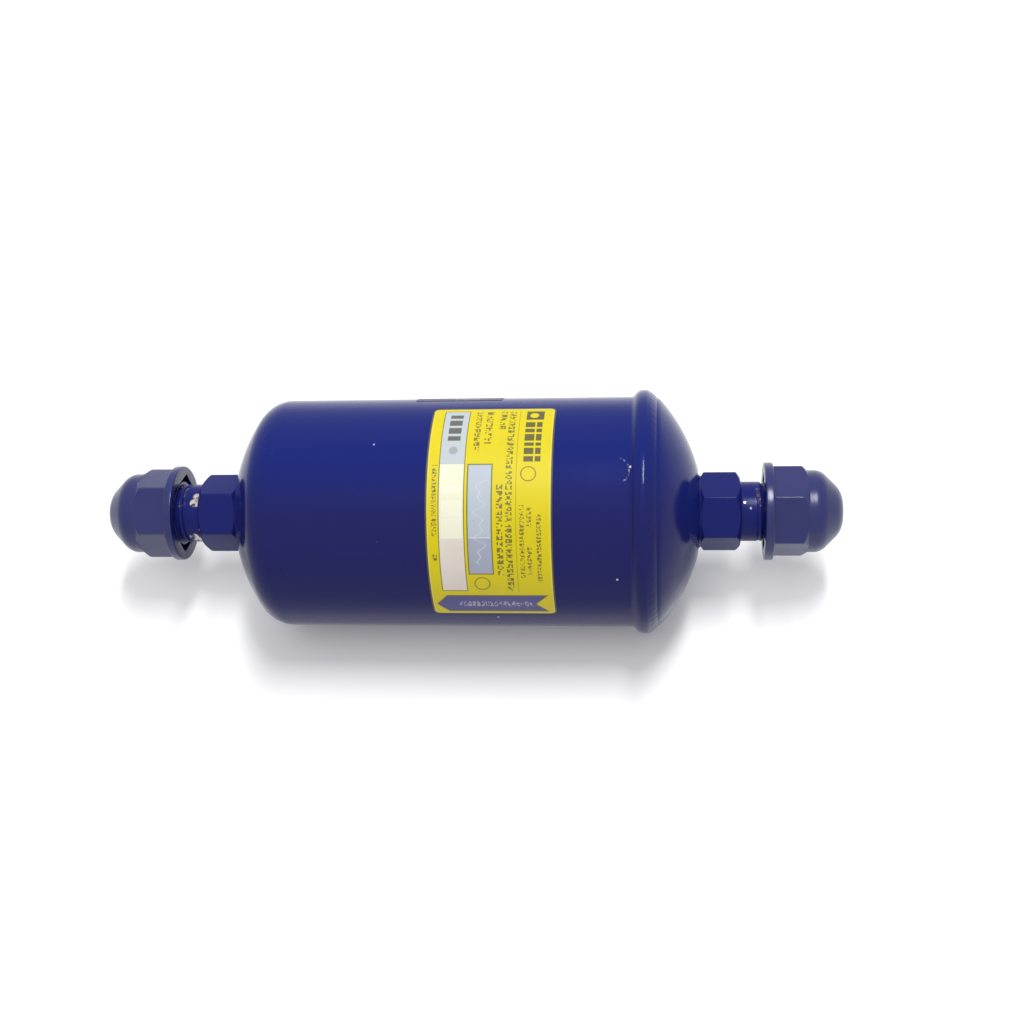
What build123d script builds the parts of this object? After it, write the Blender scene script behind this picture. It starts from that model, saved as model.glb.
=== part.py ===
from build123d import *
from math import acos, asin, atan2, cos, degrees, pi, radians, sin, sqrt
import os

# Liquid-line filter drier: a welded steel vessel with a moulded desiccant core inside,
# a 1/2 inch SAE flare fitting at each end and a hollow plastic cap screwed on each fitting.
# Millimetres. The vessel's axis is X: the inlet is at +X, the outlet at -X, +Z is up.
# The origin is on the axis, halfway between the two ends.

# ---- vessel ----------------------------------------------------------------
barrel_radius = 36.5
barrel_length = 115.8          # straight part, between the two dished ends
vessel_wall = 2.0
shoulder_crown_radius = 55.0   # dished outlet end of the shell, outside
shoulder_knuckle_radius = 9.9
end_crown_radius = 54.0        # dished end cap, outside
end_knuckle_radius = 4.0
land_margin = 0.4              # flat pressed on each dished end, beyond the braze
bell_length = 2.6              # straight, opened-out end of the shell
lap_gap = 0.2                  # end cap's skirt inside the bell
lip_setback = 0.1              # the shell's lip behind the end cap's knuckle
lip_edge_radius = 0.9
joggle_angle = 50.0            # slope of the joggle that opens the shell out
joggle_foot_radius = 1.6       # its first bend, outside
joggle_crest_radius = 1.0      # its second bend, inside
seam_bead_radius = 1.35
seam_bead_rise = 0.5           # bead's centre above the end cap's skirt

# ---- flare fittings --------------------------------------------------------
hex_across_flats = 22.0
hex_length = 12.4
hex_face_drop = 0.4            # hexagon's end face inside its flats
hex_chamfer_length = 1.5
hex_back_chamfer_length = 1.0
collar_drop = 0.6              # collar inside the hexagon's flats
collar_length = 0.8
spigot_radius = 8.8
spigot_reach = 1.6             # how far the spigot stands inside the vessel
spigot_gap = 0.1
shank_rise = 0.38              # plain shank above the thread's pitch cylinder
shank_length = 4.6
thread_pitch_radius = 9.02     # 3/4-16 UNF, drawn as its pitch cylinder
stub_length = 22.3             # hexagon to nose
flow_bore_radius = 5.2
nose_wall = 1.1                # left round the bore at the end of the 45 degree seat
bore_edge = 0.4
braze_spread = 2.8             # braze ring on the land, out from the collar
braze_height = 1.3
inlet_fitting_turn = 43.0      # a corner of the hexagon, in degrees about X from +Y
outlet_fitting_turn = 35.0

# ---- caps and their seals --------------------------------------------------
thread_shown = 2.7             # thread between the shank and the cap's open face
cap_nose_depth = 8.2           # seal to the tip of the nose
cap_across_flats = 25.4
cap_hex_length = 11.6          # open face to the start of the hexagon's chamfer
cap_hex_edge = 0.4
cap_flange_rise = 0.74         # flange beyond the hexagon's corners
cap_flange_thickness = 2.8
cap_flange_edge = 0.6
cap_dome_rise = 0.2            # dome beyond the hexagon's flats
cap_shoulder_radius = 5.0      # dome: a round shoulder, a 45 degree flank, a round nose
cap_nose_radius = 8.0
cap_nose_flat_radius = 2.66
cap_wall = 1.6
cap_pocket_depth = 10.6        # hollow between the hexagon's wall and the sleeve
cap_sleeve_wall = 1.3
cap_sleeve_setback = 0.4
cap_seat_width = 2.5           # step that presses on the seal
cap_nose_wall = 3.1
thread_clearance = 0.05
seal_thickness = 1.3
seal_gap = 0.17
seal_edge = 0.2
inlet_cap_turn = 46.0
outlet_cap_turn = 30.0

# ---- inside the vessel, from the outlet ------------------------------------
plate_thickness = 1.0
plate_gap = 0.6                # support plate's rim inside the barrel
plate_rim_length = 3.4
plate_hole_radius = 2.2
plate_hole_pitch = 8.4         # from one ring of holes to the next
plate_hole_rings = 3
screen_thickness = 0.6
pad_thickness = 5.0
pad_edge = 0.8
gasket_thickness = 1.5
gasket_opening_radius = 14.0
disc_gap = 0.2                 # screen, pad and gasket inside the barrel
core_annulus = 3.5             # flow gap between the core and the barrel
core_length = 84.0
core_draft = 0.6               # taken off the radius at the outlet end
core_edge_radius = 2.5
core_bore_radius = 7.5
core_bore_draft = 0.8
core_bore_depth = 60.0
spring_plate_thickness = 1.2
spring_plate_gap = 0.3         # spring plate's rim round the core
spring_plate_rim_length = 6.0
spring_plate_lugs = 3
spring_plate_lug_width = 9.0
spring_plate_holes = 10
spring_plate_hole_radius = 2.6
spring_pilot_height = 1.0      # raised middle of the plate, which centres the spring
spring_pilot_gap = 0.4
spring_wire_radius = 1.3
spring_inset = 10.0            # middle of the wire inside the core's edge, on the plate
spring_spigot_gap = 1.5        # wire round the fitting's spigot, in the end cap
spring_turns = 4.5

# ---- label and sticker -----------------------------------------------------
glue_thickness = 0.03          # between the barrel and both films
label_width = 38.2             # along the barrel
label_height = 76.4            # round the barrel
label_thickness = 0.12
label_corner_radius = 2.0
label_centre_x = 11.1
label_centre_turn = 122.0      # degrees about X from +Y
sticker_width = 27.5
sticker_height = 16.0
sticker_thickness = 0.08
sticker_corner_radius = 1.0
sticker_centre_x = -1.6
sticker_centre_turn = 36.0

# ---- worked out from the sizes above ---------------------------------------
barrel_bore = barrel_radius - vessel_wall
bell_radius = barrel_radius + lap_gap + vessel_wall
core_radius = barrel_bore - core_annulus
hex_flat_radius = hex_across_flats / 2
hex_corner_radius = hex_across_flats / sqrt(3)
collar_radius = hex_flat_radius - collar_drop
braze_radius = collar_radius + braze_spread
land_radius = braze_radius + land_margin
shank_radius = thread_pitch_radius + shank_rise
nose_radius = flow_bore_radius + nose_wall
cap_flat_radius = cap_across_flats / 2
cap_corner_radius = cap_across_flats / sqrt(3)
cap_flange_radius = cap_corner_radius + cap_flange_rise
cap_dome_radius = cap_flat_radius + cap_dome_rise
cap_bore_radius = thread_pitch_radius + thread_clearance
cap_sleeve_radius = cap_bore_radius + cap_sleeve_wall
cap_recess_radius = cap_bore_radius - cap_seat_width
spring_large_radius = core_radius - spring_inset
spring_small_radius = spigot_radius + spring_spigot_gap + spring_wire_radius


def crown_offset(crown, knuckle):
    """Axial distance between the centres of a dish's crown and of its knuckle."""
    return sqrt((crown - knuckle) ** 2 - (barrel_radius - knuckle) ** 2)


def crown_angle(crown, knuckle):
    """Angle between the axis and the dish's normal where crown meets knuckle."""
    return degrees(asin((barrel_radius - knuckle) / (crown - knuckle)))


def dish_depth(crown, knuckle):
    """Depth of a dished end, from the straight barrel to its land."""
    return sqrt(crown**2 - land_radius**2) - crown_offset(crown, knuckle)


shoulder_depth = dish_depth(shoulder_crown_radius, shoulder_knuckle_radius)
end_depth = dish_depth(end_crown_radius, end_knuckle_radius)
land_x = (shoulder_depth + barrel_length + end_depth) / 2
shoulder_x = shoulder_depth - land_x
end_x = land_x - end_depth
lip_x = end_x - lip_setback
joggle_end_x = lip_x - bell_length

# The joggle is an arc up, a straight slope and an arc back, with the wall even all along.
joggle_arcs = joggle_foot_radius + joggle_crest_radius + vessel_wall
joggle_rise = bell_radius - barrel_radius
joggle_arc_rise = joggle_arcs * (1 - cos(radians(joggle_angle)))
joggle_slope = (joggle_rise - joggle_arc_rise) / sin(radians(joggle_angle))
joggle_arc_reach = joggle_arcs * sin(radians(joggle_angle))
joggle_start_x = joggle_end_x - joggle_arc_reach - joggle_slope * cos(radians(joggle_angle))

# Stations along a fitting, its seal and its cap, all built on the inlet side.
hex_start = land_x + collar_length
hex_end = hex_start + hex_length
shank_end = hex_end + shank_length
stub_end = hex_end + stub_length
cap_face = shank_end + thread_shown
cap_seat = stub_end + seal_thickness
cap_end = cap_seat + cap_nose_depth


# ---- shell and end cap -----------------------------------------------------
def dish(tangent_x, crown, knuckle, side, inset):
    """Half section of a dished end inside a BuildLine, from the axis to the barrel.

    side is 1 for an end that faces +X and -1 for one that faces -X. inset draws the
    whole section inwards by the wall, which keeps the wall even.
    """
    centre_x = tangent_x - side * crown_offset(crown, knuckle)
    reach = sqrt(crown**2 - land_radius**2) - inset
    land_angle = degrees(acos(reach / (crown - inset)))
    meet_angle = crown_angle(crown, knuckle)

    def heading(angle):
        return angle if side > 0 else 180 - angle

    flat = Line(
        (centre_x + side * reach, 0),
        (centre_x + side * reach, (crown - inset) * sin(radians(land_angle))),
    )
    CenterArc((centre_x, 0), crown - inset, heading(land_angle), side * (meet_angle - land_angle))
    CenterArc(
        (tangent_x, barrel_radius - knuckle),
        knuckle - inset,
        heading(meet_angle),
        side * (90 - meet_angle),
    )
    return flat @ 0


def shell_outline(inset):
    """Half section of the shell, down to the axis."""
    with BuildLine() as outline:
        apex = dish(shoulder_x, shoulder_crown_radius, shoulder_knuckle_radius, -1, inset)
        Line((shoulder_x, barrel_radius - inset), (joggle_start_x, barrel_radius - inset))
        foot = CenterArc(
            (joggle_start_x, barrel_radius + joggle_foot_radius),
            joggle_foot_radius + inset,
            270,
            joggle_angle,
        )
        crest = CenterArc(
            (joggle_end_x, bell_radius - joggle_crest_radius - vessel_wall),
            joggle_crest_radius + vessel_wall - inset,
            90 + joggle_angle,
            -joggle_angle,
        )
        Line(foot @ 1, crest @ 0)
        Polyline(
            (joggle_end_x, bell_radius - inset),
            (lip_x, bell_radius - inset),
            (lip_x, 0),
            apex,
        )
    return outline.line


def end_cap_outline(inset):
    """Half section of the end cap, down to the axis."""
    with BuildLine() as outline:
        apex = dish(end_x, end_crown_radius, end_knuckle_radius, 1, inset)
        Polyline(
            (end_x, barrel_radius - inset),
            (joggle_end_x, barrel_radius - inset),
            (joggle_end_x, 0),
            apex,
        )
    return outline.line


with BuildPart() as shell:
    with BuildSketch():
        make_face(shell_outline(0))
        make_face(shell_outline(vessel_wall), mode=Mode.SUBTRACT)
    revolve(axis=Axis.X)
    lip = shell.edges().filter_by(GeomType.CIRCLE).group_by(Axis.X)[-1]
    fillet(lip.sort_by(SortBy.RADIUS)[-1], lip_edge_radius)
    with Locations(Plane.YZ.offset(-land_x)):
        Hole(spigot_radius + spigot_gap, depth=2 * vessel_wall)
shell.part.label = "shell"

with BuildPart() as end_cap:
    with BuildSketch():
        make_face(end_cap_outline(0))
        make_face(end_cap_outline(vessel_wall), mode=Mode.SUBTRACT)
    revolve(axis=Axis.X)
    with Locations(Plane.YZ.offset(land_x)):
        Hole(spigot_radius + spigot_gap, depth=2 * vessel_wall)
end_cap.part.label = "end_cap"

# The bead is a round ring laid in the corner between the lip and the end cap.
with BuildPart() as seam_weld:
    with BuildSketch():
        with Locations((lip_x, barrel_radius + seam_bead_rise)):
            Circle(seam_bead_radius)
    revolve(axis=Axis.X)
    add(shell.part, mode=Mode.SUBTRACT)
    add(end_cap.part, mode=Mode.SUBTRACT)
seam_weld.part.label = "seam_weld"


# ---- flare fittings --------------------------------------------------------
def flare_fitting(turn):
    """A turned fitting for the inlet: spigot, collar, hexagon, shank, thread and nose."""
    seat_length = thread_pitch_radius - nose_radius
    with BuildPart() as fitting:
        with BuildSketch(Plane.YZ.offset(hex_start)):
            RegularPolygon(hex_flat_radius, 6, major_radius=False, rotation=turn)
        extrude(amount=hex_length)
        with BuildSketch():
            with BuildLine():
                Polyline(
                    (hex_start, 0),
                    (hex_start, hex_flat_radius),
                    (hex_start + hex_back_chamfer_length, hex_corner_radius),
                    (hex_end - hex_chamfer_length, hex_corner_radius),
                    (hex_end, hex_flat_radius - hex_face_drop),
                    (hex_end, 0),
                    close=True,
                )
            make_face()
        revolve(axis=Axis.X, mode=Mode.INTERSECT)
        with BuildSketch():
            with BuildLine():
                Polyline(
                    (land_x - vessel_wall - spigot_reach, 0),
                    (land_x - vessel_wall - spigot_reach, spigot_radius),
                    (land_x, spigot_radius),
                    (land_x, collar_radius),
                    (hex_start, collar_radius),
                    (hex_start, shank_radius),
                    (shank_end - shank_rise, shank_radius),
                    (shank_end, thread_pitch_radius),
                    (stub_end - seat_length, thread_pitch_radius),
                    (stub_end, nose_radius),
                    (stub_end, 0),
                    close=True,
                )
            make_face()
        revolve(axis=Axis.X)
        with Locations(Plane.YZ.offset(stub_end)):
            Hole(flow_bore_radius)
        mouths = fitting.edges().filter_by(GeomType.CIRCLE)
        chamfer(mouths.filter_by(lambda edge: abs(edge.radius - flow_bore_radius) < bore_edge), bore_edge)
    return fitting.part


def braze_ring(fitting):
    """Braze run into the corner between the fitting and the land, with a hollow face."""
    with BuildPart() as ring:
        with BuildSketch():
            with BuildLine():
                Polyline(
                    (land_x + braze_height, hex_flat_radius),
                    (land_x + braze_height, collar_radius),
                    (land_x, collar_radius),
                    (land_x, braze_radius),
                )
                RadiusArc(
                    (land_x, braze_radius),
                    (land_x + braze_height, hex_flat_radius),
                    braze_spread,
                )
            make_face()
        revolve(axis=Axis.X)
        add(fitting, mode=Mode.SUBTRACT)
    return ring.part


with BuildPart() as inlet_fitting:
    add(flare_fitting(inlet_fitting_turn))
inlet_fitting.part.label = "inlet_fitting"

with BuildPart() as outlet_fitting:
    add(flare_fitting(outlet_fitting_turn))
    mirror(about=Plane.YZ, mode=Mode.REPLACE)
outlet_fitting.part.label = "outlet_fitting"

with BuildPart() as inlet_braze:
    add(braze_ring(flare_fitting(inlet_fitting_turn)))
inlet_braze.part.label = "inlet_braze"

with BuildPart() as outlet_braze:
    add(braze_ring(flare_fitting(outlet_fitting_turn)))
    mirror(about=Plane.YZ, mode=Mode.REPLACE)
outlet_braze.part.label = "outlet_braze"


# ---- caps and seals --------------------------------------------------------
def flare_cap(turn):
    """A hollow moulded cap for the inlet: flange, hexagon and dome round a screwed sleeve."""
    half = sqrt(0.5)
    chamfer_length = cap_corner_radius - cap_dome_radius
    flank = (
        cap_dome_radius
        - cap_nose_flat_radius
        - cap_shoulder_radius * (1 - half)
        - cap_nose_radius * half
    )
    dome_height = cap_shoulder_radius * half + flank + cap_nose_radius * (1 - half)
    dome_x = cap_end - dome_height
    hex_front = cap_face + cap_hex_length
    with BuildPart() as cap:
        with BuildSketch(Plane.YZ.offset(cap_face)):
            RegularPolygon(cap_flat_radius, 6, major_radius=False, rotation=turn)
        extrude(amount=cap_hex_length + chamfer_length)
        fillet(cap.edges().filter_by(Axis.X), cap_hex_edge)
        with BuildSketch():
            with BuildLine():
                Polyline(
                    (cap_face, 0),
                    (cap_face, cap_corner_radius),
                    (hex_front, cap_corner_radius),
                    (hex_front + chamfer_length, cap_dome_radius),
                    (hex_front + chamfer_length, 0),
                    close=True,
                )
            make_face()
        revolve(axis=Axis.X, mode=Mode.INTERSECT)
        with BuildSketch(Plane.YZ.offset(cap_face)):
            Circle(cap_flange_radius)
        extrude(amount=cap_flange_thickness)
        rims = cap.edges().filter_by(GeomType.CIRCLE)
        fillet(rims.filter_by(lambda edge: abs(edge.radius - cap_flange_radius) < 1e-6), cap_flange_edge)
        with BuildSketch():
            with BuildLine():
                Line((hex_front, 0), (hex_front, cap_dome_radius - chamfer_length))
                Line(
                    (hex_front, cap_dome_radius - chamfer_length),
                    (hex_front + chamfer_length, cap_dome_radius),
                )
                Line((hex_front + chamfer_length, cap_dome_radius), (dome_x, cap_dome_radius))
                CenterArc(
                    (dome_x, cap_dome_radius - cap_shoulder_radius), cap_shoulder_radius, 90, -45
                )
                flank_x = dome_x + cap_shoulder_radius * half
                flank_radius = cap_dome_radius - cap_shoulder_radius * (1 - half)
                Line((flank_x, flank_radius), (flank_x + flank, flank_radius - flank))
                CenterArc(
                    (cap_end - cap_nose_radius, cap_nose_flat_radius), cap_nose_radius, 45, -45
                )
                Polyline((cap_end, cap_nose_flat_radius), (cap_end, 0), (hex_front, 0))
            make_face()
        revolve(axis=Axis.X)
        with BuildSketch(Plane.YZ.offset(cap_face)):
            RegularPolygon(cap_flat_radius - cap_wall, 6, major_radius=False, rotation=turn)
            Circle(cap_sleeve_radius, mode=Mode.SUBTRACT)
        extrude(amount=cap_pocket_depth, mode=Mode.SUBTRACT)
        with BuildSketch(Plane.YZ.offset(cap_face)):
            Circle(cap_sleeve_radius)
        extrude(amount=cap_sleeve_setback, mode=Mode.SUBTRACT)
        with BuildSketch(Plane.YZ.offset(cap_face)):
            Circle(cap_bore_radius)
        extrude(amount=cap_seat - cap_face, mode=Mode.SUBTRACT)
        with BuildSketch(Plane.YZ.offset(cap_seat)):
            Circle(cap_recess_radius)
        extrude(amount=cap_end - cap_nose_wall - cap_seat, mode=Mode.SUBTRACT)
    return cap.part


def cap_seal():
    """A flat disc that the cap presses on the fitting's nose."""
    with BuildPart() as seal:
        with BuildSketch(Plane.YZ.offset(stub_end)):
            Circle(cap_bore_radius - seal_gap)
        extrude(amount=seal_thickness)
        chamfer(seal.edges().filter_by(GeomType.CIRCLE), seal_edge)
    return seal.part


with BuildPart() as inlet_cap:
    add(flare_cap(inlet_cap_turn))
inlet_cap.part.label = "inlet_cap"

with BuildPart() as outlet_cap:
    add(flare_cap(outlet_cap_turn))
    mirror(about=Plane.YZ, mode=Mode.REPLACE)
outlet_cap.part.label = "outlet_cap"

with BuildPart() as inlet_seal:
    add(cap_seal())
inlet_seal.part.label = "inlet_seal"

with BuildPart() as outlet_seal:
    add(cap_seal())
    mirror(about=Plane.YZ, mode=Mode.REPLACE)
outlet_seal.part.label = "outlet_seal"

# ---- inside the vessel -----------------------------------------------------
# The support plate's rim rests on the inside of the shell's knuckle.
rim_radius = barrel_bore - plate_gap
rim_drop = barrel_radius - shoulder_knuckle_radius
rim_x = shoulder_x - sqrt((shoulder_knuckle_radius - vessel_wall) ** 2 - (rim_radius - rim_drop) ** 2)
plate_x = rim_x + plate_rim_length

with BuildPart() as support_plate:
    with BuildSketch(Plane.YZ.offset(rim_x)):
        Circle(rim_radius)
    extrude(amount=plate_rim_length)
    with BuildSketch(Plane.YZ.offset(rim_x)):
        Circle(rim_radius - plate_thickness)
    extrude(amount=plate_rim_length - plate_thickness, mode=Mode.SUBTRACT)
    with BuildSketch(Plane.YZ.offset(plate_x)):
        Circle(plate_hole_radius)
        for ring in range(1, plate_hole_rings + 1):
            with PolarLocations(ring * plate_hole_pitch, 6 * ring):
                Circle(plate_hole_radius)
    extrude(amount=-2 * plate_thickness, mode=Mode.SUBTRACT)
support_plate.part.label = "support_plate"

screen_x = plate_x + screen_thickness
with BuildPart() as outlet_screen:
    with BuildSketch(Plane.YZ.offset(plate_x)):
        Circle(barrel_bore - disc_gap)
    extrude(amount=screen_thickness)
outlet_screen.part.label = "outlet_screen"

pad_x = screen_x + pad_thickness
with BuildPart() as filter_pad:
    with BuildSketch(Plane.YZ.offset(screen_x)):
        Circle(barrel_bore - disc_gap)
    extrude(amount=pad_thickness)
    fillet(filter_pad.edges().filter_by(GeomType.CIRCLE), pad_edge)
filter_pad.part.label = "filter_pad"

gasket_x = pad_x + gasket_thickness
with BuildPart() as core_gasket:
    with BuildSketch(Plane.YZ.offset(pad_x)):
        Circle(barrel_bore - disc_gap)
        Circle(gasket_opening_radius, mode=Mode.SUBTRACT)
    extrude(amount=gasket_thickness)
core_gasket.part.label = "core_gasket"

core_end_x = gasket_x + core_length
with BuildPart() as desiccant_core:
    with BuildSketch():
        with BuildLine():
            Polyline(
                (gasket_x, core_bore_radius),
                (gasket_x, core_radius - core_draft),
                (core_end_x, core_radius),
                (core_end_x, 0),
                (gasket_x + core_bore_depth, 0),
                (gasket_x + core_bore_depth, core_bore_radius - core_bore_draft),
                close=True,
            )
        make_face()
    revolve(axis=Axis.X)
    rims = desiccant_core.edges().filter_by(GeomType.CIRCLE).sort_by(SortBy.RADIUS)
    fillet(rims[-2:], core_edge_radius)
desiccant_core.part.label = "desiccant_core"

# The spring plate is pressed from sheet: a rim round the core with lugs that centre it in
# the barrel, and a raised pilot inside the spring.
spring_x = core_end_x + spring_plate_thickness
cup_radius = core_radius + spring_plate_gap
pilot_radius = spring_large_radius - spring_wire_radius - spring_pilot_gap
lug_radius = barrel_bore - disc_gap
with BuildPart() as spring_plate:
    with BuildSketch():
        with BuildLine():
            Polyline(
                (core_end_x, pilot_radius),
                (core_end_x, cup_radius),
                (spring_x - spring_plate_rim_length, cup_radius),
                (spring_x - spring_plate_rim_length, cup_radius + spring_plate_thickness),
                (spring_x, cup_radius + spring_plate_thickness),
                (spring_x, pilot_radius),
                (spring_x + spring_pilot_height, pilot_radius),
                (spring_x + spring_pilot_height, 0),
                (core_end_x + spring_pilot_height, 0),
                (core_end_x + spring_pilot_height, pilot_radius - spring_plate_thickness),
                (core_end_x, pilot_radius - spring_plate_thickness),
                close=True,
            )
        make_face()
    revolve(axis=Axis.X)
    with BuildSketch(Plane.YZ.offset(spring_x - spring_plate_rim_length)):
        Circle(lug_radius)
        Circle(cup_radius, mode=Mode.SUBTRACT)
        with PolarLocations(lug_radius / 2, spring_plate_lugs):
            Rectangle(lug_radius, spring_plate_lug_width, mode=Mode.INTERSECT)
    extrude(amount=spring_plate_thickness)
    outer_ring = (spring_large_radius + spring_wire_radius + cup_radius) / 2
    with BuildSketch(Plane.YZ.offset(spring_x + spring_pilot_height)):
        with PolarLocations(outer_ring, spring_plate_holes):
            Circle(spring_plate_hole_radius)
        with PolarLocations(pilot_radius / 2, spring_plate_holes // 2):
            Circle(spring_plate_hole_radius)
    extrude(amount=-2 * (spring_pilot_height + spring_plate_thickness), mode=Mode.SUBTRACT)
spring_plate.part.label = "spring_plate"

# The spring tapers from the plate to the end cap's inside, and its ends are ground flat.
spring_end_x = land_x - vessel_wall
spring_height = spring_end_x - spring_x
spring_taper = degrees(atan2(spring_small_radius - spring_large_radius, spring_height))
with BuildPart() as spring:
    with BuildLine(Plane.XY):
        coil = Helix(
            pitch=spring_height / spring_turns,
            height=spring_height,
            radius=spring_large_radius,
            center=(spring_x, 0, 0),
            direction=(1, 0, 0),
            cone_angle=spring_taper,
        )
    with BuildSketch(Plane(origin=coil @ 0, z_dir=coil % 0)):
        Circle(spring_wire_radius)
    sweep(path=coil, is_frenet=True)
    with BuildSketch(Plane.YZ.offset(spring_x)):
        Circle(barrel_bore)
    extrude(amount=spring_height, mode=Mode.INTERSECT)
spring.part.label = "spring"


# ---- label and sticker -----------------------------------------------------
def wrapped_sheet(width, height, thickness, corner_radius, centre_x, centre_turn):
    """A sheet with round corners, laid round the barrel."""
    arc = degrees(height / barrel_radius)
    with BuildPart() as sheet:
        with BuildSketch(Plane.XY.rotated((centre_turn - arc / 2, 0, 0))):
            with Locations((centre_x, barrel_radius + glue_thickness + thickness / 2)):
                Rectangle(width, thickness)
        revolve(axis=Axis.X, revolution_arc=arc)
        corners = sheet.edges().sort_by(SortBy.LENGTH)[:4]
        fillet(corners, corner_radius)
    return sheet.part


with BuildPart() as label:
    add(
        wrapped_sheet(
            label_width,
            label_height,
            label_thickness,
            label_corner_radius,
            label_centre_x,
            label_centre_turn,
        )
    )
label.part.label = "label"

with BuildPart() as date_sticker:
    add(
        wrapped_sheet(
            sticker_width,
            sticker_height,
            sticker_thickness,
            sticker_corner_radius,
            sticker_centre_x,
            sticker_centre_turn,
        )
    )
date_sticker.part.label = "date_sticker"

# ---- files -----------------------------------------------------------------
pieces = [
    shell,
    end_cap,
    seam_weld,
    inlet_fitting,
    outlet_fitting,
    inlet_braze,
    outlet_braze,
    inlet_cap,
    outlet_cap,
    inlet_seal,
    outlet_seal,
    support_plate,
    outlet_screen,
    filter_pad,
    core_gasket,
    desiccant_core,
    spring_plate,
    spring,
    label,
    date_sticker,
]
os.makedirs("parts", exist_ok=True)
for piece in pieces:
    export_step(piece.part, f"parts/{piece.part.label}.step")
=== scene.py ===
from math import acos, asin, cos, pi, radians, sin, sqrt, tau

import bpy
import numpy as np
from mathutils import Matrix, Vector


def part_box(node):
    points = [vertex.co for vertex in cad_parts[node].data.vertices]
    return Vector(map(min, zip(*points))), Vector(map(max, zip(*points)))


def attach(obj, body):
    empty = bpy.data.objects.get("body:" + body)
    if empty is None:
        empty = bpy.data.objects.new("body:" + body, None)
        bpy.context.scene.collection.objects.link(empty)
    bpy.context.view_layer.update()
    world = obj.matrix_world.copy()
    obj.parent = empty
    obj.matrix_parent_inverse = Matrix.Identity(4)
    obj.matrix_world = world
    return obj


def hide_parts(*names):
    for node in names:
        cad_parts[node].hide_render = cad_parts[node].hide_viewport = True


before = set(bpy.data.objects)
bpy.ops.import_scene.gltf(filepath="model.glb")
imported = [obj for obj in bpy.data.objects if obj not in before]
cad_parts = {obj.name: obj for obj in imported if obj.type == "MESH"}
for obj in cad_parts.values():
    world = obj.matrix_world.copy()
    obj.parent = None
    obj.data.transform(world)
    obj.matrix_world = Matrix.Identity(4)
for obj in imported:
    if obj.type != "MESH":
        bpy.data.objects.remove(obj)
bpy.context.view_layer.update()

# A liquid-line filter drier: a blue powder-coated canister lying on its side, with a flare
# fitting and a hollow screwed cap at each end. Lengths are in metres, and mm turns
# millimetres into them. The canister's axis is X and the inlet is at +X.
mm = 0.001

# ---- sizes -----------------------------------------------------------------
_, shell_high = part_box("shell")
end_low, end_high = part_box("end_cap")
fitting_low, fitting_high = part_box("inlet_fitting")
closure_low, closure_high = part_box("inlet_cap")
_, seal_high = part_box("inlet_seal")
label_low, label_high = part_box("label")
sticker_low, sticker_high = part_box("date_sticker")

barrel = end_high.y                      # radius of the canister
bell = shell_high.y                      # radius of its opened-out end
land = end_high.x                        # from the middle to the flat that takes a fitting
lip = shell_high.x
joggle_end = end_low.x
wall = 2.0 * mm

shoulder_crown, shoulder_knuckle = 55.0 * mm, 9.9 * mm
end_crown, end_knuckle = 54.0 * mm, 4.0 * mm
lip_edge = 1.9 * mm
joggle_slope = radians(50)
joggle_foot, joggle_crest = 1.6 * mm, 1.0 * mm
bead_swell = 0.24 * mm
bead_top_back, bead_top_drop = 1.0 * mm, 0.28 * mm          # where it leaves the lip's round
bead_foot_reach, bead_foot_drop = 1.8 * mm, 0.45 * mm       # where it meets the dish

hex_flat = 11.0 * mm
hex_length = 12.4 * mm
hex_face_drop = 0.4 * mm
hex_front_chamfer, hex_back_chamfer = 1.5 * mm, 1.0 * mm
hex_edge = 0.2 * mm
hex_foot_drop = 0.05 * mm
collar, collar_length = 10.4 * mm, 0.8 * mm
braze, braze_height = 13.2 * mm, 1.3 * mm
land_flat = 13.6 * mm
spigot, spigot_gap = 8.8 * mm, 0.1 * mm
shank, shank_length = 9.4 * mm, 4.6 * mm
thread_pitch = 25.4 / 16 * mm
thread_middle = 9.02 * mm                # radius of the thread's pitch cylinder
thread_flank = 0.69 * mm                 # half the height of the sharp V
thread_crest, thread_root = 0.48 * mm, 0.42 * mm
thread_run_out = 2.4 * mm
bore, bore_edge, nose = 5.2 * mm, 0.4 * mm, 6.3 * mm

closure_flat = 12.7 * mm
closure_edge = 0.24 * mm
closure_hex_length = 11.6 * mm
flange_thickness, flange_edge = 2.8 * mm, 0.6 * mm
dome = 12.9 * mm
dome_shoulder, dome_nose, dome_flat = 5.0 * mm, 8.0 * mm, 2.66 * mm
closure_wall, pocket_depth = 1.6 * mm, 10.6 * mm
sleeve, sleeve_setback = 10.37 * mm, 0.4 * mm
recess, nose_wall = 6.57 * mm, 3.1 * mm
thread_play = 0.09 * mm
thread_run_in = 0.6 * mm

fitting_turn = {"inlet": 43.0, "outlet": 35.0}     # a corner of each hexagon, degrees about X
closure_turn = {"inlet": 46.0, "outlet": 30.0}

glue, label_film, sticker_film = 0.03 * mm, 0.12 * mm, 0.08 * mm
label_height, label_corner, label_turn = 76.4 * mm, 2.0 * mm, 122.0
sticker_height, sticker_corner, sticker_turn = 16.0 * mm, 1.0 * mm, 36.0
label_width = label_high.x - label_low.x
sticker_width = sticker_high.x - sticker_low.x

hex_start = land + collar_length
hex_end = hex_start + hex_length
shank_end = hex_end + shank_length
stub_end = fitting_high.x
spigot_end = fitting_low.x
closure_face, closure_end = closure_low.x, closure_high.x
closure_seat = seal_high.x
flange = closure_high.y


# ---- shapes ----------------------------------------------------------------
def line(*corners):
    """The corner points themselves, as an array of (x, radius)."""
    return np.array(corners, float)


def arc(x, radius, size, start, end, steps):
    """Circle of that size about (x, radius): size times (cos, sin) of start to end, in radians."""
    turn = np.linspace(start, end, steps + 1)
    return np.stack([x + size * np.cos(turn), radius + size * np.sin(turn)], axis=1)


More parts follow.
